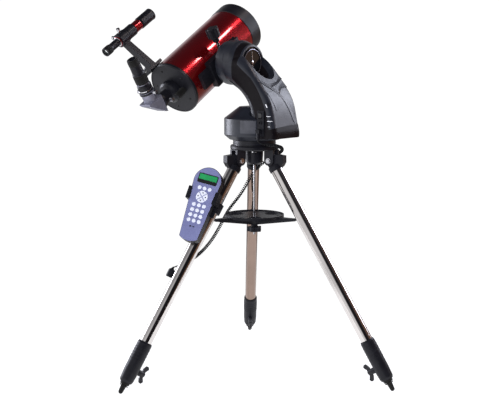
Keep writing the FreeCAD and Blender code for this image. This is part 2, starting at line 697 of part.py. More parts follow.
def make_finder():
    side, up = dim("finder_side").value, dim("finder_up").value
    eye, front = dim("finder_eye"), dim("finder_front")
    body = turned([
        (8, eye), (12, eye), (12, 42), (10.5, 38), (10.5, 5), (13, 4), (13, -26), (14.5, -30),
        (14.5, -82), (16.5, -87), (16.5, front), (14.5, front), (14.5, front + 18), (0, front + 19),
        (0, front + 24), (12, front + 24), (12, -30), (8, -26), (8, eye - 6), (0, eye - 6),
        (0, eye - 3), (8, eye - 3)])
    node(place(body, tube_frame, (side, up, 0)), "finder_tube")

    reach = math.hypot(side, up)
    lean = Rotation(Vector(0, 1, 0), Vector(side, up, 0))
    ring = rod(18.5, 30, (0, reach, -24), Vector(0, 0, 1))
    stalk = prism("XY_Plane", [(-13, 78), (13, 78), (9, reach - 15), (-9, reach - 15)], 16, lift=-15)
    shoe = block((-17, 74, -34), (17, 82, 18))
    bore = rod(13.0, 40, (0, reach, -30), Vector(0, 0, 1))
    tube_room = rod(dim("optical_radius") + 1.25, 80, (0, 0, -60))
    side_knob = rod(5, 22, (-32, 92, -7), Vector(1, 0, 0))
    bracket = cut(fuse(ring, stalk, shoe, side_knob), bore, tube_room)
    node(place(bracket, tube_frame, (0, 0, 0), lean), "finder_bracket")

    screws = []
    for angle in (45, 135):
        direction = Vector(math.cos(math.radians(angle)), math.sin(math.radians(angle)), 0)
        centre = Vector(0, reach, -6)
        shank = rod(2, 9, centre + direction * 18.5, direction)
        head = rod(5, 7, centre + direction * 25, direction)
        screws.append(place(fuse(shank, head), tube_frame, (0, 0, 0), lean))
    node(together(*screws), "finder_screws")


# ---------------------------------------------------------------- hand controller

KEY_ROWS = 4
KEY_PITCH = 14.0
KEY_TOP = 42.0
KEY_GRID = -4.0
KEY_DEPTH = 5.0


def handset_keys(gap):
    """Key solids standing in the face; gap widens them into their holes."""
    half = dim("handset_thickness").value / 2
    key, pad = dim("key_radius"), dim("pad_radius")
    pad_height = dim("pad_height").value
    spots = [(KEY_PITCH * column, KEY_TOP) for column in (-1, 0, 1)]
    spots += [(KEY_PITCH * column, KEY_GRID - KEY_PITCH * line)
              for line in range(KEY_ROWS) for column in (-1, 0, 1)]
    keys = [rod(key + gap, KEY_DEPTH, (x, 3 - half, z), Vector(0, -1, 0)) for x, z in spots]
    for turn in range(4):
        disc = rod(pad + gap, KEY_DEPTH, (0, 3 - half, pad_height), Vector(0, -1, 0))
        quarter = block((0.8 - gap, -half - 3, 0.8 - gap), (20, -half + 4, 20))
        lean = Placement(Vector(0, 0, pad_height), Rotation(Vector(0, 1, 0), 45 + 90 * turn))
        quarter.Placement = lean.multiply(quarter.Placement)
        keys.append(common(disc, quarter))
    return keys


def make_handset():
    frame = handset_frame()
    thick = dim("handset_thickness")
    body = prism("XZ_Plane", [
        (-25, -92), (25, -92, 0, -100), (37.5, 62), (-37.5, 62, 0, 100)], thick, middle=True)
    document.recompute()
    screen = block((-27, -14, 55), (27, -12, 81))
    carved = cut(body, screen, *handset_keys(0.3))
    node(place(carved, frame), "handset_body")
    keypad = together(*handset_keys(0.0))
    node(place(keypad, frame), "handset_keypad")

    back = thick.value / 2 + 0.3
    plate = block((-34, back, -22), (38, back + 4, 42))
    arms = []
    for side in (-1, 1):
        arms.append(prism("XZ_Plane", [
            (side * 33.4, 7), (side * 42, 7), (side * 42, 40), (side * 36.1, 40)],
            thick + 8, middle=True))
        arms.append(prism("XZ_Plane", [
            (side * 30.0, 7), (side * 34, 7), (side * 37, 40), (side * 32.5, 40)],
            3, lift=thick.value / 2 + 0.4))
    holder = place(fuse(plate, *arms), frame)
    leg = leg_frame(leg_headings[1])
    station = dim("handset_station").value
    ring = place(rod(21.5, 28, (0, 0, 0)), leg, (0, 0, station))
    tube = place(rod(dim("tube_radius") + 0.05, 80, (0, 0, 0)), leg, (0, 0, station - 30))
    node(cut(fuse(holder, ring), tube), "handset_holder")


# ---------------------------------------------------------------- cord

CORD_LEAD = [(66.0, -67.0, 633.0), (66.0, -67.0, 628.0), (71.0, -66.0, 624.0), (77.0, -60.0, 621.0)]
CORD_COIL = [
    (77.0, -60.0, 621.0), (84.0, -38.0, 618.0), (81.0, -6.0, 613.0), (73.0, 25.0, 606.0),
    (55.0, 48.0, 594.0), (26.0, 48.0, 578.0), (-4.0, 38.0, 560.0), (-20.0, 22.0, 538.0),
    (-40.0, 21.0, 508.0), (-61.0, 16.0, 472.0), (-85.5, -8.0, 430.0), (-88.0, -36.0, 391.0),
    (-88.0, -76.0, 352.0), (-94.0, -118.0, 322.0), (-98.0, -164.0, 308.0)]
CORD_TAIL = [
    (-98.0, -164.0, 308.0), (-100.0, -192.0, 303.0), (-102.0, -207.0, 303.0),
    (-97.0, -217.0, 300.0)]


def cord_path(points):
    """Straight runs joined by the largest tangent arcs the runs allow."""
    points = [Vector(*point) for point in points]
    edges = []
    last = points[0]
    for before, corner, after in zip(points, points[1:], points[2:]):
        inward, outward = corner - before, after - corner
        shorter = min(inward.Length, outward.Length)
        turn = inward.getAngle(outward)
        reach = 0.45 * shorter
        start = corner - inward.normalize() * reach
        end = corner + outward.normalize() * reach
        bulge = (start + end) * 0.5 - corner
        radius = reach / math.tan(turn / 2)
        centre = corner + bulge.normalize() * math.hypot(radius, reach)
        middle = centre + (corner - centre).normalize() * radius
        edges.append(Part.makeLine(last, start))
        edges.append(Part.Arc(start, middle, end).toShape())
        last = end
    edges.append(Part.makeLine(last, points[-1]))
    return Part.Wire(edges)


def cord_tube(points, radius, label):
    path = cord_path(points)
    start = path.Edges[0]
    section = Part.Wire([Part.makeCircle(radius.value, start.firstVertex().Point,
                                         start.tangentAt(start.FirstParameter))])
    solid = path.makePipeShell([section], True, False)
    expected = math.pi * radius.value ** 2 * path.Length
    if abs(solid.Volume / expected - 1) > 0.01:
        raise RuntimeError(f"{label} has the wrong volume")
    feature = document.addObject("Part::Feature", "cord")
    feature.Shape = solid
    return node(feature, label)


def make_cord():
    front = dim("arm_front").value
    boot = fuse(block((60.2, front - 14, 647.6), (71.8, front + 2.6, 658.4)),
                rod(4.5, 17, (66, front - 10, CORD_LEAD[0][2])))
    node(boot, "cord_port_plug")
    cord_tube(CORD_LEAD, dim("lead_radius"), "cord_lead")
    cord_tube(CORD_COIL, dim("coil_radius"), "cord_curly")
    cord_tube(CORD_TAIL, dim("lead_radius"), "cord_tail")
    along = Vector(-0.2, -0.45, -0.87).normalize()
    plug = turned([(0, 0), (5, 0), (7.5, 2), (8.5, 6), (8.5, 20), (7, 23), (0, 23)])
    plug.Placement = Placement(Vector(*CORD_TAIL[-1]), Rotation(Vector(0, 0, 1), along))
    node(plug, "cord_plug")


make_hub()
make_hub_bolts()
make_centre_rod()
make_tray()
make_tray_knob()
for leg_number, leg_heading in enumerate(leg_headings, start=1):
    make_leg(leg_number, leg_heading)
make_base_plate()
make_arm()
make_drum()
make_head_disc()
make_ports()
make_drives()
make_saddle()
make_optical_tube()
make_back_end()
make_finder()
make_handset()
make_cord()

document.recompute()
for feature in document.Objects:
    if "Invalid" in feature.State or "Error" in feature.State:
        raise RuntimeError(f"{feature.Label} did not compute")
os.makedirs("parts", exist_ok=True)
for feature in nodes:
    shape = feature.Shape
    if shape.isNull() or not shape.isValid() or not shape.Solids:
        raise RuntimeError(f"{feature.Label} has no valid shape")
    print(feature.Label, len(shape.Solids), round(shape.Volume))
    shape.exportStep(f"parts/{feature.Label}.step")
print(len(nodes), "nodes")
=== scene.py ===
import json
import math

import bpy
import numpy as np
from mathutils import Matrix, Vector
from mathutils.bvhtree import BVHTree


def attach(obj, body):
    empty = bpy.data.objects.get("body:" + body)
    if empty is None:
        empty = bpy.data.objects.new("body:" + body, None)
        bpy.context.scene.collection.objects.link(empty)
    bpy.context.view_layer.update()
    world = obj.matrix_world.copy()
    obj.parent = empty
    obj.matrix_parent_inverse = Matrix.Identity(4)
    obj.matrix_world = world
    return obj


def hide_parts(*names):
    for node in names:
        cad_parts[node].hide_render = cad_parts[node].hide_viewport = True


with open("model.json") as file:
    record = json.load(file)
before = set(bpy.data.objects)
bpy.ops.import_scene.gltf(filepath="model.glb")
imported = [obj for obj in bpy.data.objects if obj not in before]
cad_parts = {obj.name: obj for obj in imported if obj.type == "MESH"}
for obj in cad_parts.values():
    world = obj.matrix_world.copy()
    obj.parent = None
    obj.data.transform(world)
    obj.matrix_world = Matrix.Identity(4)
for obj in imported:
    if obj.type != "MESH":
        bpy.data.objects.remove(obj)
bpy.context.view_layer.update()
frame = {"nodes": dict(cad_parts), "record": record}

NODES = frame["nodes"]
MM = 0.001

# ------------------------------------------------------------------ frames of the parts

ALTITUDE = math.radians(31.63)
AXIS_Y, AXIS_Z = 0.005, 0.8266
# From the altitude axis back to the tube's rear plate, along the tube.
SETBACK = 0.1328
TUBE_X = -0.190
# Tube frame: y is up across the tube and z points backwards from the rear plate.
TUBE = Matrix((
    (1, 0, 0, TUBE_X),
    (0, -math.sin(ALTITUDE), -math.cos(ALTITUDE), AXIS_Y - SETBACK * math.cos(ALTITUDE)),
    (0, math.cos(ALTITUDE), -math.sin(ALTITUDE), AXIS_Z - SETBACK * math.sin(ALTITUDE)),
    (0, 0, 0, 1)))

FOOT_CIRCLE = 0.4014
LEG_SLOPE = math.atan(0.6114)
LEG_HEADINGS = (130.7, 250.7, 10.7)


def leg_matrix(heading):
    """Frame at a leg's foot: z runs up the leg, x points outwards."""
    angle = math.radians(heading)
    return (Matrix.Translation((FOOT_CIRCLE * math.cos(angle), FOOT_CIRCLE * math.sin(angle), 0))
            @ Matrix.Rotation(angle, 4, "Z") @ Matrix.Rotation(-LEG_SLOPE, 4, "Y"))


LEGS = [leg_matrix(heading) for heading in LEG_HEADINGS]


HANDSET_HEADING = math.radians(287.0)
HANDSET_TILT = math.radians(8.5)
HANDSET_UP_LEG = 0.518


def handset_matrix():
    """Frame of the hand controller in its holder: z up its length, -y out of its face."""
    leg = LEGS[1]
    up = (leg.to_3x3() @ Vector((0, 0, 1))).normalized()
    facing = Vector((math.cos(HANDSET_HEADING), math.sin(HANDSET_HEADING), 0))
    facing = (facing - up * facing.dot(up)).normalized()
    sideways = facing.cross(up)
    tall = up * math.cos(HANDSET_TILT) + sideways * math.sin(HANDSET_TILT)
    right = -facing.cross(tall)
    centre = leg @ Vector((0, 0, HANDSET_UP_LEG)) + facing * 0.036 + sideways * 0.022
    turn = Matrix((right, -facing, tall)).transposed().to_4x4()
    return Matrix.Translation(centre) @ turn


HANDSET = handset_matrix()

# ------------------------------------------------------------------ materials


def shader(name):
    material = bpy.data.materials.new(name)
    material.use_nodes = True
    tree = material.node_tree
    return material, tree, tree.nodes["Principled BSDF"]


def link(tree, source, target):
    tree.links.new(source, target)


def noise(tree, vector, scale, detail=3.0, rough=0.5):
    texture = tree.nodes.new("ShaderNodeTexNoise")
    texture.inputs["Scale"].default_value = scale
    texture.inputs["Detail"].default_value = detail
    texture.inputs["Roughness"].default_value = rough
    link(tree, vector, texture.inputs["Vector"])
    return texture.outputs["Fac"]


def ramp(tree, value, low, high, to_low, to_high):
    """A value's range stretched onto another, and held at its ends."""
    remap = tree.nodes.new("ShaderNodeMapRange")
    for socket, number in (("From Min", low), ("From Max", high), ("To Min", to_low),
                           ("To Max", to_high)):
        remap.inputs[socket].default_value = number
    link(tree, value, remap.inputs["Value"])
    return remap.outputs["Result"]


def blend_colour(tree, factor, first, second):
    mix = tree.nodes.new("ShaderNodeMix")
    mix.data_type = "RGBA"
    mix.inputs["A"].default_value = (*first, 1)
    mix.inputs["B"].default_value = (*second, 1)
    link(tree, factor, mix.inputs["Factor"])
    return mix.outputs["Result"]


def surface(name, colour, tint, rough, grain=1800, height=0.00002, metallic=0.0, coat=0.0,
            coat_rough=0.05, specular=0.5, stretch=None, patch=22, scuff=0.06, sheen=0.0):
    """A worn, grained finish: colour drifts to tint in patches, roughness varies, fine bump."""
    material, tree, bsdf = shader(name)
    coordinates = tree.nodes.new("ShaderNodeTexCoord").outputs["Object"]
    along = coordinates
    if stretch is not None:
        mapping = tree.nodes.new("ShaderNodeMapping")
        mapping.vector_type = "POINT"
        turn, scales = stretch
        mapping.inputs["Rotation"].default_value = turn
        mapping.inputs["Scale"].default_value = scales
        link(tree, coordinates, mapping.inputs["Vector"])
        along = mapping.outputs["Vector"]
    patches = noise(tree, coordinates, patch, 4.0, 0.6)
    link(tree, blend_colour(tree, ramp(tree, patches, 0.35, 0.7, 0, 1), colour, tint),
         bsdf.inputs["Base Color"])
    fine = noise(tree, along, grain, 2.0)
    marks = noise(tree, along, patch * 9, 6.0, 0.75)
    add = tree.nodes.new("ShaderNodeMath")
    add.operation = "ADD"
    link(tree, ramp(tree, patches, 0.3, 0.7, rough[0], rough[1]), add.inputs[0])
    link(tree, ramp(tree, marks, 0.58, 0.75, 0.0, scuff), add.inputs[1])
    link(tree, add.outputs["Value"], bsdf.inputs["Roughness"])
    bump = tree.nodes.new("ShaderNodeBump")
    bump.inputs["Strength"].default_value = 0.6
    bump.inputs["Distance"].default_value = height
    link(tree, fine, bump.inputs["Height"])
    link(tree, bump.outputs["Normal"], bsdf.inputs["Normal"])
    bsdf.inputs["Metallic"].default_value = metallic
    bsdf.inputs["Specular IOR Level"].default_value = specular
    bsdf.inputs["Coat Weight"].default_value = coat
    bsdf.inputs["Coat Roughness"].default_value = coat_rough
    bsdf.inputs["Sheen Weight"].default_value = sheen
    return material


def clear_glass(name, tint, haze):
    """Coated glass with faint smears in its roughness."""
    material, tree, bsdf = shader(name)
    coordinates = tree.nodes.new("ShaderNodeTexCoord").outputs["Object"]
    smears = noise(tree, coordinates, 60, 5.0, 0.6)
    link(tree, ramp(tree, smears, 0.4, 0.8, haze[0], haze[1]), bsdf.inputs["Roughness"])
    link(tree, blend_colour(tree, smears, tint, [c * 0.9 for c in tint]),
         bsdf.inputs["Base Color"])
    bsdf.inputs["Transmission Weight"].default_value = 0.92
    bsdf.inputs["IOR"].default_value = 1.5
    bsdf.inputs["Coat Weight"].default_value = 0.4
    return material


def steel(name, leg, colour):
    """Polished tube, its grain drawn out along the leg."""
    turn = leg.to_3x3().inverted().to_euler()
    return surface(name, colour, [0.8 * part for part in colour], (0.07, 0.16), grain=900,
                   height=0.000006, metallic=1.0, stretch=(turn, (1.0, 1.0, 0.02)), patch=9,
                   scuff=0.10)


FINISH = {
    "black_plastic": surface("black_plastic", (0.005, 0.005, 0.007), (0.009, 0.009, 0.012),
                             (0.36, 0.46), grain=1500, height=0.000008, specular=0.2),
    "arm_plastic": surface("arm_plastic", (0.009, 0.010, 0.015), (0.014, 0.016, 0.023),
                           (0.34, 0.42), grain=1500, height=0.000012, specular=0.55),
    "arm_gloss": surface("arm_gloss", (0.004, 0.003, 0.004), (0.007, 0.006, 0.007),
                         (0.26, 0.34), grain=1500, height=0.000006, specular=0.12),
    "gloss_black": surface("gloss_black", (0.003, 0.003, 0.004), (0.006, 0.006, 0.007),
                           (0.05, 0.12), grain=600, height=0.000003, coat=0.6, scuff=0.04),
    "bright_metal": surface("bright_metal", (0.80, 0.80, 0.82), (0.66, 0.66, 0.69),
                            (0.10, 0.24), grain=1200, height=0.000006, metallic=1.0),
    "red_lacquer": surface("red_lacquer", (0.30, 0.0015, 0.006), (0.22, 0.001, 0.004),
                           (0.20, 0.30), grain=3000, height=0.000008, metallic=0.85, coat=0.8,
                           coat_rough=0.06, patch=8, scuff=0.03),
    "black_metal": surface("black_metal", (0.004, 0.004, 0.006), (0.008, 0.008, 0.011),
                           (0.34, 0.44), grain=900, height=0.000002, specular=0.35,
                           scuff=0.02),
    "rubber": surface("rubber", (0.004, 0.004, 0.004), (0.008, 0.0075, 0.0075), (0.62, 0.8),
                      grain=1100, height=0.00004, specular=0.25, sheen=0.05),
    "glass": clear_glass("glass", (0.80, 0.92, 0.84), (0.01, 0.05)),
    "mirror": surface("mirror", (0.92, 0.92, 0.93), (0.86, 0.87, 0.88), (0.01, 0.03), grain=400,
                      height=0.000001, metallic=1.0, scuff=0.01),
    "brass": surface("brass", (0.62, 0.44, 0.17), (0.50, 0.34, 0.12), (0.2, 0.35), metallic=1.0),
    "handset_blue": surface("handset_blue", (0.150, 0.160, 0.310), (0.120, 0.128, 0.260),
                            (0.40, 0.50), grain=1400, height=0.00002, patch=30),
    "key_white": surface("key_white", (0.62, 0.64, 0.74), (0.52, 0.54, 0.64), (0.42, 0.55),
                         grain=1400, height=0.00002, patch=50),
    "board": surface("board", (0.01, 0.10, 0.03), (0.02, 0.14, 0.05), (0.3, 0.4), coat=0.4),
    "cord": surface("cord", (0.004, 0.004, 0.005), (0.008, 0.008, 0.009), (0.42, 0.5),
                    grain=1200, height=0.000005, patch=40, specular=0.2),
    "lcd_green": surface("lcd_green", (0.012, 0.25, 0.075), (0.010, 0.20, 0.060), (0.12, 0.2),
                         grain=1400, height=0.00001, coat=0.6, patch=60),
    "print_white": surface("print_white", (0.80, 0.80, 0.84), (0.66, 0.66, 0.70), (0.5, 0.6),
                           patch=90),
    "label_grey": surface("label_grey", (0.050, 0.051, 0.062), (0.036, 0.037, 0.045),
                          (0.30, 0.42), grain=1000, height=0.000008, patch=60),
    "diagonal_grey": surface("diagonal_grey", (0.26, 0.26, 0.33), (0.19, 0.19, 0.24),
                             (0.30, 0.42), grain=1200, height=0.00001, metallic=0.6, patch=60),
    "ring_grey": surface("ring_grey", (0.30, 0.30, 0.36), (0.22, 0.22, 0.27), (0.22, 0.34),
                         grain=1200, height=0.000006, metallic=0.9, patch=60),
    # Near-black, darker than the arm's plastics. Under the battery door's rim and in its latch
    # slots it is painted shade.
    "dark_gap": surface("dark_gap", (0.002, 0.002, 0.0025), (0.004, 0.004, 0.005), (0.5, 0.7)),
}
# Legs 2 and 3 take the steel's own colour. Leg 1's darker brown is a painted reflection on the
# same polished steel.
STEEL_AND_REFLECTION_COLOURS = [(0.30, 0.22, 0.18), (0.66, 0.63, 0.61), (0.66, 0.63, 0.61)]
STEELS = [steel(f"steel_{number}", leg, colour)
          for number, (leg, colour) in enumerate(zip(LEGS, STEEL_AND_REFLECTION_COLOURS), 1)]

SPECIAL = {"arm_inner": "arm_plastic", "arm_shell": "arm_gloss", "arm_cover": "arm_plastic",
           "base_drum": "arm_plastic", "handset_body": "black_plastic",
           "star_diagonal": "diagonal_grey"}
SLOTS = {row["node"]: row["material_slot"] for row in frame["record"]["subparts"]}


def paint(piece, material):
    """Give every slot of a CAD node one material."""
    if len(piece.data.materials) == 0:
        piece.data.materials.append(material)
    for place in piece.material_slots:
        place.link = "OBJECT"
        place.material = material


for node_name, piece in NODES.items():
    slot_name = SLOTS[node_name]
    if slot_name == "steel":
        paint(piece, STEELS[int(node_name.split("_")[1]) - 1])
    else:
        paint(piece, FINISH[SPECIAL.get(node_name, slot_name)])

# ------------------------------------------------------------------ mesh helpers


def mesh_piece(name, vertices, faces, body, slot, finish=None, smooth=True, sharp=None):
    """A Blender piece on a body; a finish of its own may stand in for its slot's."""
    data = bpy.data.meshes.new(name)
    data.from_pydata([tuple(v) for v in vertices], [], faces)
    data.validate()
    data.update()
    piece = bpy.data.objects.new(name, data)
    bpy.context.scene.collection.objects.link(piece)
    data.materials.append(FINISH[finish or slot])
    if smooth:
        data.shade_smooth()
        if sharp is not None:
            data.set_sharp_from_angle(angle=math.radians(sharp))
    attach(piece, body)
    return piece


def lathe(profile, matrix, count=64, wave=None):
    """Closed ring or solid from (radius, z) corners; wave(z_index, angle) scales a radius."""
    vertices, faces = [], []
    size = len(profile)
    for step in range(count):
        angle = 2 * math.pi * step / count
        for index, (radius, z) in enumerate(profile):
            reach = radius * (wave(index, angle) if wave else 1.0)
            vertices.append(matrix @ Vector((reach * math.cos(angle), reach * math.sin(angle), z)))
    for step in range(count):
        following = (step + 1) % count
        for index in range(size):
            after = (index + 1) % size
            faces.append((step * size + index, following * size + index,
                          following * size + after, step * size + after))
    return vertices, faces


def join(*meshes):
    """Several (vertices, faces) as one."""
    vertices, faces = [], []
    for some, rings in meshes:
        shift = len(vertices)
        vertices += some
        faces += [tuple(corner + shift for corner in face) for face in rings]
    return vertices, faces


def around(matrix, radius, z, angle):
    """Frame at a point of a circle, with its z along the parent's z."""
    return matrix @ Matrix.Rotation(angle, 4, "Z") @ Matrix.Translation((radius, 0, z))


def facing_x(point):
    """Frame at a point with z along row +X."""
    return Matrix.Translation(point) @ Matrix.Rotation(math.pi / 2, 4, "Y")


# ------------------------------------------------------------------ camera

camera_data = bpy.data.cameras.new("camera")
camera = bpy.data.objects.new("camera", camera_data)
bpy.context.scene.collection.objects.link(camera)
camera_data.sensor_width = 36.0
camera_data.lens = 73.78
camera.location = (1.6892, -2.1099, 0.8461)
LOOKING = Vector((-0.6222, 0.7703, -0.1399))
camera.rotation_euler = LOOKING.to_track_quat("-Z", "Y").to_euler()
bpy.context.scene.camera = camera

# ------------------------------------------------------------------ curly cord

LEAD_POINTS = [(0.066, -0.067, 0.633), (0.066, -0.067, 0.628), (0.071, -0.066, 0.624),
               (0.077, -0.060, 0.621)]
COIL_POINTS = [
    (0.084, -0.038, 0.618), (0.081, -0.006, 0.613), (0.073, 0.025, 0.606),
    (0.055, 0.048, 0.594), (0.026, 0.048, 0.578), (-0.004, 0.038, 0.560),
    (-0.020, 0.022, 0.538), (-0.040, 0.021, 0.508), (-0.061, 0.016, 0.472),
    (-0.0855, -0.008, 0.430), (-0.088, -0.036, 0.391), (-0.088, -0.076, 0.352),
    (-0.094, -0.118, 0.322)]
TAIL_POINTS = [(-0.098, -0.164, 0.308), (-0.100, -0.192, 0.303), (-0.102, -0.207, 0.303),
               (-0.097, -0.217, 0.300)]
WIRE_RADIUS = 0.0016
HELIX_RADIUS = 0.0034
TURN_POINTS = 12
FIRST_PITCH, LAST_PITCH = 0.0066, 0.0044
# Lengths of line over which the helix opens and closes, and the step of its tangent.
EASE_LENGTH, TANGENT_STEP, COIL_MARGIN = 0.012, 0.002, 0.002


def nurbs_curve(name, points):
    """One open spline with its ends on the first and last points."""
    data = bpy.data.curves.new(name, "CURVE")
    data.dimensions = "3D"
    data.resolution_u = 8
    spline = data.splines.new("NURBS")
    spline.points.add(len(points) - 1)
    for point, place in zip(spline.points, points):
        point.co = (*place, 1.0)
    spline.order_u = 3
    spline.use_endpoint_u = True
    piece = bpy.data.objects.new(name, data)
    bpy.context.scene.collection.objects.link(piece)
    return piece


def read_line(points):
    """Points along the route's own NURBS spline."""
    guide = nurbs_curve("cord_guide", points)
    bpy.context.view_layer.update()
    data = bpy.data.meshes.new_from_object(guide)
    line = np.array([vertex.co[:] for vertex in data.vertices])
    bpy.data.objects.remove(guide)
    bpy.data.meshes.remove(data)
    return line


def helix_points(line, start, end):
    """Turns wound round the line between two lengths, closer together towards its end."""
    steps = np.linalg.norm(np.diff(line, axis=0), axis=1)
    lengths = np.concatenate(([0.0], np.cumsum(steps)))
    span = end - start
    phase, place, points = 0.0, 0.0, []
    normal = np.array([0.0, 0.0, 1.0])
    while place < span:
        here = start + place
        centre = np.array([np.interp(here, lengths, line[:, k]) for k in range(3)])
        ahead = np.array([np.interp(here + TANGENT_STEP, lengths, line[:, k])
                          for k in range(3)])
        tangent = (ahead - centre) / np.linalg.norm(ahead - centre)
        normal = normal - tangent * normal.dot(tangent)
        normal = normal / np.linalg.norm(normal)
        side = np.cross(tangent, normal)
        ease = min(1.0, place / EASE_LENGTH, (span - place) / EASE_LENGTH)
        radius = HELIX_RADIUS * ease * ease * (3 - 2 * ease)
        points.append(centre + radius * (math.cos(phase) * normal + math.sin(phase) * side))
        pitch = FIRST_PITCH - (FIRST_PITCH - LAST_PITCH) * place / span
        phase += 2 * math.pi / TURN_POINTS
        place += pitch / TURN_POINTS
    return points


route = LEAD_POINTS + COIL_POINTS + TAIL_POINTS
line = read_line(route)
start_at = np.argmin(np.linalg.norm(line - np.array(LEAD_POINTS[-1]), axis=1))
end_at = np.argmin(np.linalg.norm(line - np.array(TAIL_POINTS[0]), axis=1))
along = np.concatenate(([0.0], np.cumsum(np.linalg.norm(np.diff(line, axis=0), axis=1))))
turns = helix_points(line, along[start_at] + COIL_MARGIN, along[end_at] - COIL_MARGIN)
cord = nurbs_curve("curly_cord", LEAD_POINTS[:3] + [tuple(p) for p in turns] + TAIL_POINTS[1:])
cord.data.resolution_u = 2
cord.data.bevel_depth = WIRE_RADIUS
cord.data.bevel_resolution = 3
cord.data.use_fill_caps = True
cord.data.materials.append(FINISH["cord"])
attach(cord, "tripod")
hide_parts("cord_lead", "cord_curly", "cord_tail")

# ------------------------------------------------------------------ details laid on the arm


def surface_tree(*names):
    """One search tree over several CAD nodes."""
    vertices, faces = [], []
    for name in names:
        data = NODES[name].data
        shift = len(vertices)
        vertices += [vertex.co.copy() for vertex in data.vertices]
        faces += [[corner + shift for corner in face.vertices] for face in data.polygons]
    return BVHTree.FromPolygons(vertices, faces)


ARM = surface_tree("arm_inner", "arm_shell", "arm_cover")
DRUM = surface_tree("base_drum")


SKIN_CLEARANCE, SKIN_DEPTH = 0.00005, 0.0004


def drape(name, starts, heights, tree, body, slot, finish=None, sharp=40):
    """Closed skin over a surface: starts is a grid of (point, direction), and heights is its
    lift, one number or a grid of them."""
    rows, columns = len(starts), len(starts[0])
    if isinstance(heights, float):
        heights = [[heights] * columns] * rows
    outer, inner = [], []
    for row, lifts in zip(starts, heights):
        for (point, direction), lift in zip(row, lifts):
            hit, normal = tree.ray_cast(Vector(point), Vector(direction))[:2]
            if hit is None:
                hit, normal = tree.find_nearest(Vector(point))[:2]
            normal = normal if normal.dot(Vector(direction)) < 0 else -normal
            outer.append(hit + normal * (lift + SKIN_CLEARANCE))
            inner.append(hit - normal * SKIN_DEPTH)
    count = rows * columns
    faces = []
    for i in range(rows - 1):
        for j in range(columns - 1):
            a, b = i * columns + j, i * columns + j + 1
            c, d = b + columns, a + columns
            faces.append((a, b, c, d))
            faces.append((a + count, d + count, c + count, b + count))
    rim = ([j for j in range(columns)] + [i * columns + columns - 1 for i in range(1, rows)]
           + [(rows - 1) * columns + j for j in range(columns - 2, -1, -1)]
           + [i * columns for i in range(rows - 2, 0, -1)])
    for here, there in zip(rim, rim[1:] + rim[:1]):
        faces.append((here, here + count, there + count, there))
    return mesh_piece(name, outer + inner, faces, body, slot, finish, sharp=sharp)


def resample(points, count):
    """Evenly spaced points along the straight runs between the given ones."""
    points = np.array(points, dtype=float)
    runs = np.linalg.norm(np.diff(points, axis=0), axis=1)
    knots = np.concatenate(([0.0], np.cumsum(runs))) / runs.sum()
    return [np.array([np.interp(t, knots, points[:, k]) for k in range(points.shape[1])])
            for t in np.linspace(0, 1, count)]


def side_grid(first, last, rows, columns):
    """Starts beside the arm, cast along -X, between two (y, z) lines in millimetres."""
    top, bottom = resample(first, columns), resample(last, columns)
    grid = []
    for row in range(rows):
        blend = row / (rows - 1)
        grid.append([((0.2, *((1 - blend) * a + blend * b) * MM), (-1, 0, 0))
                     for a, b in zip(top, bottom)])
    return grid


def smooth_step(value):
    value = min(max(value, 0.0), 1.0)
    return value * value * (3 - 2 * value)


def shingle_heights(rows, columns, step, fade):
    """Lift grows from nothing to the step down the rows, and fades at the front end."""
    return [[step * (row / (rows - 1)) ** 1.4 * smooth_step((1 - column / (columns - 1)) / fade)
             for column in range(columns)] for row in range(rows)]


# Two overlapping shoulders between the disc and the crease: upper and lower lines, (y, z).
SHOULDERS = [
    ([(57, 797), (42, 789), (22, 778), (0, 775), (-14, 776)],
     [(57, 785), (42, 780), (22, 772), (2, 767), (-21, 763)], 0.0020),
    ([(57, 783), (44, 777), (30, 770), (16, 764), (6, 760)],
     [(57, 762), (46, 763), (32, 762), (16, 755), (4, 743)], 0.0020)]
SHOULDER_GRID = (12, 40)
for number, (upper, lower, step) in enumerate(SHOULDERS, 1):
    drape(f"arm_shoulder_{number}", side_grid(upper, lower, *SHOULDER_GRID),
          shingle_heights(*SHOULDER_GRID, step, 0.25), ARM, "azimuth", "black_plastic",
          "arm_plastic")

CREASE = [(-48, 779), (-29, 766.6), (-11, 754.4), (2.3, 741.4), (14, 729.3), (26, 703.3),
          (38.5, 671.5)]
CREASE_TOP = [(-44, 787), (-22, 775), (-3, 763), (11, 749), (24, 733), (37, 706), (50, 673)]
CREASE_ROWS, CREASE_COLUMNS, CREASE_STEP = 9, 48, 0.0011
drape("arm_crease", side_grid(CREASE_TOP, CREASE, CREASE_ROWS, CREASE_COLUMNS),
      [[CREASE_STEP * (row / (CREASE_ROWS - 1)) ** 1.2] * CREASE_COLUMNS
       for row in range(CREASE_ROWS)], ARM, "azimuth", "black_plastic", "arm_plastic")

# The battery door's corners, (y, z).
DOOR = [(-42, 752.6), (-4, 755), (11.5, 727.5), (-28, 705.5)]


def corners_grown(corners, by):
    """Corners moved away from their centre by a distance."""
    centre = np.mean(corners, axis=0)
    grown = []
    for corner in np.array(corners):
        reach = np.linalg.norm(corner - centre)
        grown.append(tuple(centre + (corner - centre) * (reach + by) / reach))
    return grown


def door_grid(corners):
    """Starts over a four-cornered panel, from its (y, z) corners in order."""
    a, b, c, d = corners
    return side_grid([a, b], [d, c], 20, 20)


# A near-black sheet 1 mm wider than the door lies under it. Its rim is painted shade in the door's
# seam.
drape("battery_door_seam_painted_shade", door_grid(corners_grown(DOOR, 1.0)), 0.00012, ARM, "azimuth",
      "black_plastic", "dark_gap")
drape("battery_door", door_grid(DOOR), 0.0007, ARM, "azimuth", "black_plastic", "arm_plastic")

ARM_CENTRE = (0.062, 0.002)


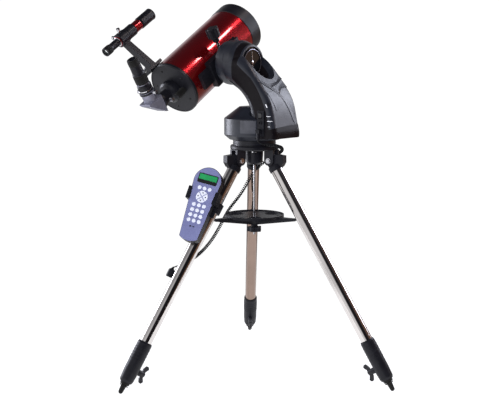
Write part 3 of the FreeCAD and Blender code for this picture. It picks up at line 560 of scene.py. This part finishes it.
def round_grid(centre, lower, upper, rows):
    """Starts on a ring, cast at its centre; lines are (degrees, z in millimetres)."""
    grid = []
    for row in range(rows):
        blend = row / (rows - 1)
        line = []
        for (angle_a, z_a), (angle_b, z_b) in zip(lower, upper):
            angle = math.radians(angle_a + (angle_b - angle_a) * blend)
            z = (z_a + (z_b - z_a) * blend) * MM
            out = Vector((math.cos(angle), math.sin(angle), 0))
            line.append(((centre[0] + out.x * 0.15, centre[1] + out.y * 0.15, z), -out))
        grid.append(line)
    return grid


SKIRT_TOP = resample([(-69.5, 656.5), (-45, 662.8), (-25, 664.6), (15, 666.8), (45, 667.7),
                      (70, 668)], 70)
SKIRT_FOOT = [(angle, 635.0) for angle, _ in SKIRT_TOP]
drape("arm_skirt", round_grid(ARM_CENTRE, SKIRT_FOOT, SKIRT_TOP, 8), 0.0009, ARM, "azimuth",
      "black_plastic", "arm_gloss")

# Short marks at the front corner: two ends (degrees, z) and a height.
MARKS = [
    ("level_mark_1", [(-69.2, 692), (-59.5, 692)], 1.3, "print_white"),
    ("level_mark_2", [(-66.9, 679.8), (-55.3, 679.8)], 1.3, "print_white"),
    ("level_mark_3", [(-65.3, 665.8), (-60.6, 665.8)], 1.3, "print_white")]
for name, ends, tall, finish in MARKS:
    line = resample(ends, 12)
    drape(name, round_grid(ARM_CENTRE, [(a, z - tall / 2) for a, z in line],
                           [(a, z + tall / 2) for a, z in line], 3),
          0.0002, ARM, "azimuth", "key_white", finish)

# The slots are flat near-black strips laid on the door: painted shade where the slots' recesses
# are.
# The battery door's latch and slots: top and bottom (degrees, z), and how far each side.
LATCH_BEFORE, LATCH_AFTER = 1.3, 1.1
LATCHES = [
    ("latch_tab", (-72.0, 722.4), (-68.4, 714.4), "print_white"),
    ("latch_slot_shade_1", (-68.0, 726.9), (-64.6, 718.9), "dark_gap"),
    ("latch_slot_shade_2", (-64.1, 730.4), (-59.9, 722.3), "dark_gap")]
for name, top, bottom, finish in LATCHES:
    line = resample([bottom, top], 12)
    drape(name, round_grid(ARM_CENTRE, [(a - LATCH_BEFORE, z) for a, z in line],
                           [(a + LATCH_AFTER, z) for a, z in line], 4),
          0.0006, ARM, "azimuth", "black_plastic", finish)

label_line = np.linspace(-78.6, -49.0, 40)
drape("drum_label", round_grid((0, 0), [(a, 647) for a in label_line],
                               [(a, 679.5) for a in label_line], 12),
      0.00025, DRUM, "azimuth", "black_plastic", "label_grey")

# ------------------------------------------------------------------ disc on the arm's head

HEAD = facing_x((0, AXIS_Y, AXIS_Z))
DISC_FACE = -0.011
mesh_piece("disc_ring", *lathe([(0.0334, DISC_FACE + 0.0012), (0.0334, DISC_FACE + 0.0019),
                                (0.0340, DISC_FACE + 0.0023), (0.0349, DISC_FACE + 0.0023),
                                (0.0355, DISC_FACE + 0.0019), (0.0355, DISC_FACE + 0.0012)],
                               HEAD, 160), "azimuth", "bright_metal", "ring_grey", sharp=50)


def bar_mark(half, width, lift, matrix):
    """Tapered bar with bevelled sides, lying along local x."""
    stations = np.linspace(-1, 1, 25)
    ring = []
    for t in stations:
        half_width = width / 2 * (1 - 0.55 * abs(t) ** 1.5)
        ring.append([(half * t, -half_width, 0), (half * t, -half_width * 0.6, lift),
                     (half * t, half_width * 0.6, lift), (half * t, half_width, 0)])
    vertices = [matrix @ Vector(corner) for station in ring for corner in station]
    faces = [(3, 2, 1, 0)]
    for i in range(len(ring) - 1):
        for j in range(4):
            a, b = i * 4 + j, i * 4 + (j + 1) % 4
            faces.append((a, b, b + 4, a + 4))
    end = (len(ring) - 1) * 4
    faces.append((end, end + 1, end + 2, end + 3))
    return vertices, faces


ON_DISC = HEAD @ Matrix.Translation((0, 0, DISC_FACE - 0.0001)) @ Matrix.Rotation(0.05, 4, "Z")
mesh_piece("disc_mark", *join(
    bar_mark(0.0285, 0.0034, 0.0013, ON_DISC),
    lathe([(0, 0), (0.0052, 0), (0.0052, 0.0012), (0.0042, 0.0020), (0.0015, 0.0023),
           (0, 0.0023)], ON_DISC, 48)), "azimuth", "bright_metal", sharp=40)

# ------------------------------------------------------------------ telescope


def knurled(low, high, radius, matrix, ribs, depth=0.03, inside=0.0):
    """Ribbed grip: a closed ring or drum with chamfered ends."""
    def wave(index, angle):
        return 1 + (depth * (abs(math.sin(ribs * angle / 2)) - 1) if 1 < index < 4 else 0)
    edge = min(0.0008, (high - low) / 5)
    profile = [(inside, low), (radius * 0.96, low), (radius, low + edge), (radius, high - edge),
               (radius * 0.96, high), (inside, high)]
    return lathe(profile, matrix, ribs * 6, wave)


def ring_piece(name, inside, outside, low, high, matrix, body, slot, finish=None, count=96):
    """A chamfered ring, or a disc where inside is 0."""
    edge = min(0.0006, (high - low) / 4, (outside - inside) / 2)
    return mesh_piece(name, *lathe([(inside, low), (outside - edge, low), (outside, low + edge),
                                    (outside, high - edge), (outside - edge, high),
                                    (inside, high)], matrix, count), body, slot, finish, sharp=40)


SCREW = [(0, -0.0006), (0.0028, -0.0006), (0.0028, 0.0006), (0.0022, 0.0011), (0.0013, 0.0011),
         (0.0013, 0.0003), (0, 0.0003)]


def screws(name, places, body, slot, finish=None):
    """Small socket-headed screws, one piece."""
    mesh_piece(name, *join(*[lathe(SCREW, place, 24) for place in places]), body, slot, finish,
               sharp=35)


screws("rear_cell_screws",
       [around(TUBE, 0.0555, 0.0003, math.radians(angle)) for angle in (104, 37, -33, -99, 172)],
       "tube", "black_metal", "dark_gap")
screws("front_cell_screws",
       [around(TUBE, 0.0685, -0.3231, math.radians(angle)) @ Matrix.Rotation(math.pi, 4, "X")
        for angle in (30, 90, 150, 210, 270, 330)], "tube", "black_metal", "black_metal")
ring_piece("rear_cell_rim", 0.0690, 0.0722, -0.0016, -0.0002, TUBE, "tube", "black_metal")
ring_piece("front_ring_lip", 0.0640, 0.0672, -0.3236, -0.3224, TUBE, "tube", "black_metal")
ring_piece("secondary_spot", 0, 0.0125, -0.3172, -0.3163, TUBE, "tube", "mirror")

SADDLE_SHAFT = (TUBE @ Matrix.Translation((0.0795, 0, -0.138))
                @ Matrix.Rotation(-math.pi / 2, 4, "X"))
ring_piece("saddle_knob_sleeve", 0, 0.0043, 0.038, 0.0588, SADDLE_SHAFT, "saddle_knob",
           "bright_metal", count=48)

FOCUS = TUBE @ Matrix.Translation((0.040, 0, 0))
mesh_piece("focus_grip", *knurled(0.005, 0.031, 0.0091, FOCUS, 28, 0.05, 0.0080), "focus",
           "rubber", sharp=50)
ring_piece("focus_cap", 0, 0.0062, 0.0336, 0.0346, FOCUS, "focus", "black_metal", "black_metal")


def sideways_x(x, y, z, sign=1):
    """Tube frame turned so that local z points to +X or -X."""
    return TUBE @ Matrix.Translation((x, y, z)) @ Matrix.Rotation(sign * math.pi / 2, 4, "Y")


ring_piece("visual_back_ring", 0.0170, 0.0216, 0.0545, 0.0605, TUBE, "tube", "black_metal")
mesh_piece("visual_back_thumbscrew", *knurled(0.0278, 0.0376, 0.0054, sideways_x(0, 0, 0.048), 18,
                                              0.06), "tube", "bright_metal", sharp=50)
mesh_piece("visual_back_grip", *knurled(0.0035, 0.0185, 0.0306, TUBE, 60, 0.02, 0.0285), "tube",
           "black_metal", sharp=50)
EYE = TUBE @ Matrix.Translation((0, 0, 0.087))
mesh_piece("diagonal_thumbscrews", *join(
    knurled(0.0258, 0.0346, 0.0054, sideways_x(0, 0.048, 0.087), 18, 0.06),
    knurled(0.0240, 0.0320, 0.0050, sideways_x(0, 0.048, 0.087, -1), 18, 0.06),
    lathe([(0, 0.017), (0.0024, 0.017), (0.0024, 0.0245), (0, 0.0245)],
          sideways_x(0, 0.048, 0.087, -1), 24)), "diagonal", "bright_metal", sharp=50)


def plate(corners, low, high, matrix, inset=0.0006):
    """Flat plate with a chamfered top, from its (x, y) corners, anticlockwise."""
    centre = np.mean(corners, axis=0)
    inner = [tuple(np.array(c) + (centre - np.array(c)) / np.linalg.norm(centre - np.array(c))
                   * inset) for c in corners]
    size = len(corners)
    vertices = [matrix @ Vector((x, y, z)) for points, z in
                ((corners, low), (corners, high - inset * 0.6), (inner, high))
                for x, y in points]
    faces = [tuple(range(size - 1, -1, -1)), tuple(range(2 * size, 3 * size))]
    for level in (0, 1):
        for i in range(size):
            j = (i + 1) % size
            faces.append((level * size + i, level * size + j, (level + 1) * size + j,
                          (level + 1) * size + i))
    return vertices, faces


def rounded(width, height, radius, at=(0, 0), steps=6):
    """Corners of a rounded rectangle."""
    corners = []
    for quarter, (sx, sy) in enumerate(((1, 1), (-1, 1), (-1, -1), (1, -1))):
        for step in range(steps + 1):
            angle = math.pi / 2 * (quarter + step / steps)
            corners.append((at[0] + sx * (width / 2 - radius) + radius * math.cos(angle),
                            at[1] + sy * (height / 2 - radius) + radius * math.sin(angle)))
    return corners


SLANT = Vector((0, 0.048, 0.0507)).normalized()
PLATE_FRAME = TUBE @ Matrix.Translation((0, -0.003, 0.08765)) @ Matrix((
    (1, 0, 0), (0, SLANT.y, -SLANT.z), (0, SLANT.z, SLANT.y))).to_4x4()
mesh_piece("diagonal_plate", *plate(rounded(0.0355, 0.064, 0.003), -0.0003, 0.0014, PLATE_FRAME),
           "diagonal", "black_metal", "diagonal_grey", sharp=30)
screws("diagonal_plate_screws",
       [PLATE_FRAME @ Matrix.Translation((x, y, 0.0014)) @ Matrix.Scale(0.7, 4)
        for x in (-0.014, 0.014) for y in (-0.027, 0.027)], "diagonal", "bright_metal")
CHEEK = [(-0.0195, 0.0655), (0.0215, 0.0655), (0.0215, 0.1080), (0.0185, 0.1080)]
for sign, side_name in ((1, "right"), (-1, "left")):
    turn = TUBE @ Matrix(((0, 0, sign, 0.019 * sign), (1, 0, 0, 0), (0, 1, 0, 0), (0, 0, 0, 1)))
    mesh_piece(f"diagonal_cheek_{side_name}", *plate(CHEEK, -0.0003, 0.0007, turn), "diagonal",
               "black_metal", "diagonal_grey", sharp=30)

UPWARD = EYE @ Matrix.Rotation(-math.pi / 2, 4, "X")
mesh_piece("eyepiece_grip", *knurled(0.078, 0.102, 0.0177, UPWARD, 44, 0.03, 0.0165), "eyepiece",
           "rubber", sharp=50)
ring_piece("eyepiece_band", 0.0185, 0.0193, 0.0560, 0.0585, UPWARD, "eyepiece", "bright_metal")
ring_piece("eyepiece_waist", 0.0168, 0.0174, 0.0745, 0.0765, UPWARD, "eyepiece", "bright_metal",
           "ring_grey")
mesh_piece("eyecup", *lathe([(0.0090, 0.1445), (0.0105, 0.1468), (0.0130, 0.1474),
                             (0.0148, 0.1462), (0.0154, 0.1430), (0.0156, 0.1360),
                             (0.0153, 0.1300), (0.0148, 0.1295), (0.0140, 0.1400),
                             (0.0100, 0.1430)], UPWARD, 96), "eyepiece", "rubber", sharp=60)
mesh_piece("diagonal_collar_grip", *knurled(0.0445, 0.0515, 0.0204, UPWARD, 48, 0.02, 0.0190),
           "diagonal", "black_metal", sharp=50)
mesh_piece("eyepiece_lens", *lathe([(0, 0.1395), (0.0088, 0.1388), (0.0088, 0.1375),
                                    (0, 0.1375)], UPWARD, 48), "eyepiece", "glass")

FINDER = TUBE @ Matrix.Translation((-0.117, 0.151, 0))
ring_piece("finder_red_sleeve", 0.0140, 0.0149, -0.0820, -0.0570, FINDER, "tube", "red_lacquer")
ring_piece("finder_black_sleeve", 0.0140, 0.0168, -0.0565, -0.0260, FINDER, "tube",
           "black_metal")
ring_piece("finder_red_band", 0.0104, 0.0138, 0.0065, 0.0088, FINDER, "tube", "red_lacquer")
ring_piece("finder_bright_band", 0.0104, 0.0132, 0.0092, 0.0110, FINDER, "tube", "bright_metal")
ring_piece("finder_shade_lip", 0.0145, 0.0170, -0.1375, -0.1345, FINDER, "tube", "black_metal")
mesh_piece("finder_eye_grip", *knurled(0.0440, 0.0590, 0.0124, FINDER, 40, 0.02, 0.0110), "tube",
           "rubber", sharp=50)
mesh_piece("finder_lenses", *join(
    lathe([(0, 0.0598), (0.0079, 0.0590), (0.0079, 0.0580), (0, 0.0580)], FINDER, 48),
    lathe([(0, -0.1245), (0.0142, -0.1225), (0.0142, -0.1205), (0, -0.1205)], FINDER, 64)),
    "tube", "glass")

# ------------------------------------------------------------------ tripod

PIVOT = 0.573 / math.cos(LEG_SLOPE)
for number, leg in enumerate(LEGS, 1):
    nuts = []
    for sign in (1, -1):
        turn = leg @ Matrix.Translation((0, 0.0213 * sign, PIVOT)) @ Matrix.Rotation(
            -sign * math.pi / 2, 4, "X")
        nuts.append(lathe([(0, -0.0004), (0.0058, -0.0004), (0.0058, 0.0022), (0.0050, 0.0030),
                           (0, 0.0030)], turn, 6))
    mesh_piece(f"pivot_nuts_{number}", *join(*nuts), "tripod", "bright_metal", smooth=False)
    ribs = [lathe([(0.0180, z), (0.0196, z), (0.0199, z + 0.0005), (0.0199, z + 0.0021),
                   (0.0196, z + 0.0026), (0.0180, z + 0.0026)], leg, 72)
            for z in (0.094, 0.102, 0.110, 0.118, 0.126)]
    mesh_piece(f"leg_{number}_clamp_ribs", *join(*ribs), f"leg_{number}", "black_plastic",
               sharp=40)
    treads = [lathe([(0.0080, z), (0.0110 + 0.0004 * step, z), (0.0118 + 0.0004 * step, z + 0.001),
                     (0.0110 + 0.0004 * step, z + 0.002), (0.0080, z + 0.002)], leg, 60)
              for step, z in enumerate((0.0225, 0.0262, 0.0299))]
    mesh_piece(f"leg_{number}_foot_treads", *join(*treads), f"leg_{number}_inner", "rubber",
               sharp=40)

screws("hub_screws", [
    Matrix.Translation((x, y, 0.5947)) @ Vector((x, y, 0)).to_track_quat("Z", "Y").to_matrix()
    .to_4x4() @ Matrix.Scale(0.8, 4) for x, y in ((0.0107, -0.0216), (0.0174, -0.0167))],
       "tripod", "bright_metal")
ring_piece("neck_ring", 0.0560, 0.0572, 0.6168, 0.6182, Matrix.Identity(4), "tripod",
           "black_plastic", "arm_plastic", 160)

TRAY_TOP = 0.424
rims = []
for turn in range(3):
    angle = math.radians(60 + 10.7 + 120 * turn)
    rims.append(lathe([(0.01615, -0.0002), (0.0182, -0.0002), (0.0182, 0.0008),
                       (0.0176, 0.0013), (0.0166, 0.0013), (0.01615, 0.0009)],
                      Matrix.Translation((0.054 * math.cos(angle), 0.054 * math.sin(angle),
                                          TRAY_TOP)), 80))
mesh_piece("tray_rims", *join(*rims), "tray", "black_plastic", sharp=40)

# ------------------------------------------------------------------ hand controller

FACE = HANDSET @ Matrix(((1, 0, 0, 0), (0, 0, -1, 0), (0, 1, 0, 0), (0, 0, 0, 1)))
FACE_UP = 0.013


def bow(half_width, shoulder, tip, steps):
    """Points of an arc from (half, shoulder) over (0, tip) to (-half, shoulder)."""
    rise = tip - shoulder
    radius = (half_width ** 2 + rise ** 2) / (2 * abs(rise))
    centre = tip - math.copysign(radius, rise)
    spread = math.asin(half_width / radius)
    return [(radius * math.sin(angle), centre + math.copysign(radius, rise) * math.cos(angle))
            for angle in np.linspace(spread, -spread, steps)]


outline = bow(0.0366, 0.0620, 0.0990, 40) + bow(0.0243, -0.0917, -0.0990, 24)[::-1]
mesh_piece("handset_face", *plate(outline, FACE_UP - 0.0010, FACE_UP + 0.0008, FACE, 0.0009),
           "handset", "handset_blue", sharp=30)
mesh_piece("handset_bezel", *plate(rounded(0.054, 0.026, 0.003, (0, 0.068)), FACE_UP,
                                   FACE_UP + 0.0014, FACE), "handset", "gloss_black", sharp=30)
mesh_piece("handset_screen", *plate(rounded(0.049, 0.014, 0.001, (0, 0.0715)), FACE_UP + 0.001,
                                    FACE_UP + 0.0017, FACE, 0.0003), "handset", "glass",
           "lcd_green", sharp=30)
mesh_piece("handset_marks", *join(*[
    plate(rounded(0.0056, 0.0028, 0.0013, (x, -0.0615)), FACE_UP, FACE_UP + 0.0013, FACE, 0.0002)
    for x in (-0.0042, 0.0042)]), "handset", "black_plastic", "dark_gap", sharp=30)

KEY_TOP_UP = FACE_UP + 0.0020
KEY_CAP = [(0, -0.0004), (0.00525, -0.0004), (0.00525, 0.0002), (0.0048, 0.0007),
           (0.0036, 0.0010), (0.0020, 0.0009), (0, 0.0008)]
spots = [(0.014 * column, 0.042) for column in (-1, 0, 1)]
spots += [(0.014 * column, -0.004 - 0.014 * line) for line in range(4) for column in (-1, 0, 1)]
mesh_piece("handset_key_caps", *join(*[
    lathe(KEY_CAP, FACE @ Matrix.Translation((x, y, KEY_TOP_UP)), 40) for x, y in spots]),
    "handset", "key_white", sharp=50)

PAD_CENTRE = (0, 0.0195)
quarters, arrows = [], []
for turn in range(4):
    lean = math.pi / 2 * turn
    arc = [(0.0008, 0.0008)]
    for angle in np.linspace(math.radians(3.5), math.radians(86.5), 16):
        arc.append((0.0156 * math.cos(angle), 0.0156 * math.sin(angle)))
    turned_frame = FACE @ Matrix.Translation((*PAD_CENTRE, 0)) @ Matrix.Rotation(
        lean + math.pi / 4, 4, "Z")
    quarters.append(plate(arc, KEY_TOP_UP - 0.0003, KEY_TOP_UP + 0.0009, turned_frame, 0.0009))
    pointing = turned_frame @ Matrix.Rotation(math.pi / 4, 4, "Z")
    arrows.append(plate([(0.0128, 0), (0.0088, 0.0026), (0.0088, -0.0026)], KEY_TOP_UP,
                        KEY_TOP_UP + 0.0011, pointing, 0.0002))
mesh_piece("handset_pad_caps", *join(*quarters), "handset", "key_white", sharp=30)
mesh_piece("handset_pad_arrows", *join(*arrows), "handset", "handset_blue", "black_plastic",
           sharp=30)

# ------------------------------------------------------------------ cord's strain reliefs


def boot(matrix, length, wide, narrow, ribs):
    """Tapered, ribbed sleeve along local z."""
    profile = [(0.0, 0.0)]
    for step in range(ribs * 2 + 1):
        t = step / (ribs * 2)
        radius = wide + (narrow - wide) * t
        profile.append((radius * (1.0 if step % 2 == 0 else 0.86), length * t))
    profile.append((0.0, length))
    return lathe(profile, matrix, 40)


def pointing(place, direction):
    """Frame at a point with z along a direction."""
    turn = Vector(direction).to_track_quat("Z", "Y").to_matrix().to_4x4()
    return Matrix.Translation(place) @ turn


mesh_piece("plug_boot", *boot(pointing(TAIL_POINTS[-1], Vector(TAIL_POINTS[-2])
                                       - Vector(TAIL_POINTS[-1])), 0.009, 0.0040, 0.0022, 5),
           "tripod", "cord", sharp=60)
mesh_piece("port_boot", *boot(pointing((0.066, -0.067, 0.634), (0, 0, -1)), 0.0058, 0.0040,
                              0.0024, 4), "azimuth", "cord", sharp=60)

# ------------------------------------------------------------------ floor and lights

FLOOR_RADIUS, FLOOR_GLOW = 0.80, 0.80
rim = [(FLOOR_RADIUS * math.cos(angle), FLOOR_RADIUS * math.sin(angle), 0)
       for angle in np.linspace(0, 2 * math.pi, 97)[:-1]]
floor_data = bpy.data.meshes.new("floor")
floor_data.from_pydata(rim, [], [tuple(range(len(rim)))])
floor = bpy.data.objects.new("floor", floor_data)
floor.location.z = -0.0005
bpy.context.scene.collection.objects.link(floor)
floor_paper = surface("floor_paper", (0.50, 0.50, 0.50), (0.48, 0.48, 0.48), (0.8, 0.9),
                      patch=1.5, specular=0.0)
paper_shader = floor_paper.node_tree.nodes["Principled BSDF"]
paper_shader.inputs["Emission Color"].default_value = (1, 1, 1, 1)
paper_shader.inputs["Emission Strength"].default_value = FLOOR_GLOW
floor_data.materials.append(floor_paper)

# The studio by heading, from -X round through -Y: a grey gap, a pale wall, a dark flag, a warm
# wall, a second pale wall and the grey gap again.
STUDIO = [(0.0, (0.22, 0.22, 0.24)), (0.05, (0.9, 0.9, 0.93)), (0.31, (0.9, 0.9, 0.93)),
          (0.35, (0.012, 0.011, 0.013)), (0.48, (0.012, 0.011, 0.013)), (0.53, (0.20, 0.11, 0.07)),
          (0.70, (0.34, 0.22, 0.16)), (0.75, (0.30, 0.24, 0.22)), (0.79, (0.60, 0.60, 0.62)),
          (0.95, (0.60, 0.60, 0.62)), (0.975, (0.22, 0.22, 0.24)), (1.0, (0.22, 0.22, 0.24))]


# Heights of view, as the z of a unit direction, between which the walls fade to a dark ceiling.
CEILING_FROM, CEILING_FULL = 0.40, 0.66
BACKDROP = 1.05


def studio_world():
    """Walls and ceiling for reflections, and a plain white backdrop behind the object."""
    world = bpy.data.worlds.new("studio")
    world.use_nodes = True
    tree = world.node_tree
    split = tree.nodes.new("ShaderNodeSeparateXYZ")
    link(tree, tree.nodes.new("ShaderNodeTexCoord").outputs["Generated"], split.inputs[0])
    heading = tree.nodes.new("ShaderNodeMath")
    heading.operation = "ARCTAN2"
    link(tree, split.outputs["Y"], heading.inputs[0])
    link(tree, split.outputs["X"], heading.inputs[1])
    walls = tree.nodes.new("ShaderNodeValToRGB")
    for index, (place, colour) in enumerate(STUDIO):
        stop = (walls.color_ramp.elements[index] if index == 0
                else walls.color_ramp.elements.new(place))
        stop.color = (*colour, 1)
    link(tree, ramp(tree, heading.outputs["Value"], -math.pi, math.pi, 0, 1), walls.inputs["Fac"])
    mix = tree.nodes.new("ShaderNodeMix")
    mix.data_type = "RGBA"
    mix.inputs["B"].default_value = (0.05, 0.05, 0.06, 1)
    link(tree, ramp(tree, split.outputs["Z"], CEILING_FROM, CEILING_FULL, 0, 1),
         mix.inputs["Factor"])
    link(tree, walls.outputs["Color"], mix.inputs["A"])
    seen = tree.nodes.new("ShaderNodeMix")
    seen.data_type = "RGBA"
    seen.inputs["B"].default_value = (BACKDROP, BACKDROP, BACKDROP, 1)
    link(tree, tree.nodes.new("ShaderNodeLightPath").outputs["Is Camera Ray"],
         seen.inputs["Factor"])
    link(tree, mix.outputs["Result"], seen.inputs["A"])
    link(tree, seen.outputs["Result"], tree.nodes["Background"].inputs["Color"])
    return world


bpy.context.scene.world = studio_world()


def soft_light(name, place, target, size, power, colour=(1, 1, 1), tall=None):
    """An area light aimed at a target, square unless a height is given."""
    data = bpy.data.lights.new(name, "AREA")
    data.shape = "RECTANGLE"
    data.size = size
    data.size_y = tall or size
    data.energy = power
    data.color = colour
    lamp = bpy.data.objects.new(name, data)
    bpy.context.scene.collection.objects.link(lamp)
    lamp.location = place
    lamp.rotation_euler = (Vector(target) - Vector(place)).to_track_quat("-Z", "Y").to_euler()
    return lamp


soft_light("left", (-3.1, -0.9, 1.0), (0, 0, 0.7), 1.4, 80, colour=(0.86, 0.88, 1), tall=1.6)
soft_light("right", (1.3, 2.5, 2.2), (0, 0, 0.7), 1.3, 80, colour=(0.82, 0.86, 1), tall=2.1)
soft_light("key", (0.61, 0.365, 2.17), (-0.139, 0.095, 0.942), 0.2, 4, colour=(1, 0.86, 0.84))
fill = soft_light("fill", (1.35, -1.9, 1.0), (0, 0, 0.45), 0.6, 62, colour=(0.95, 0.97, 1))
fill.visible_glossy = False

bpy.context.scene.view_settings.view_transform = "Standard"
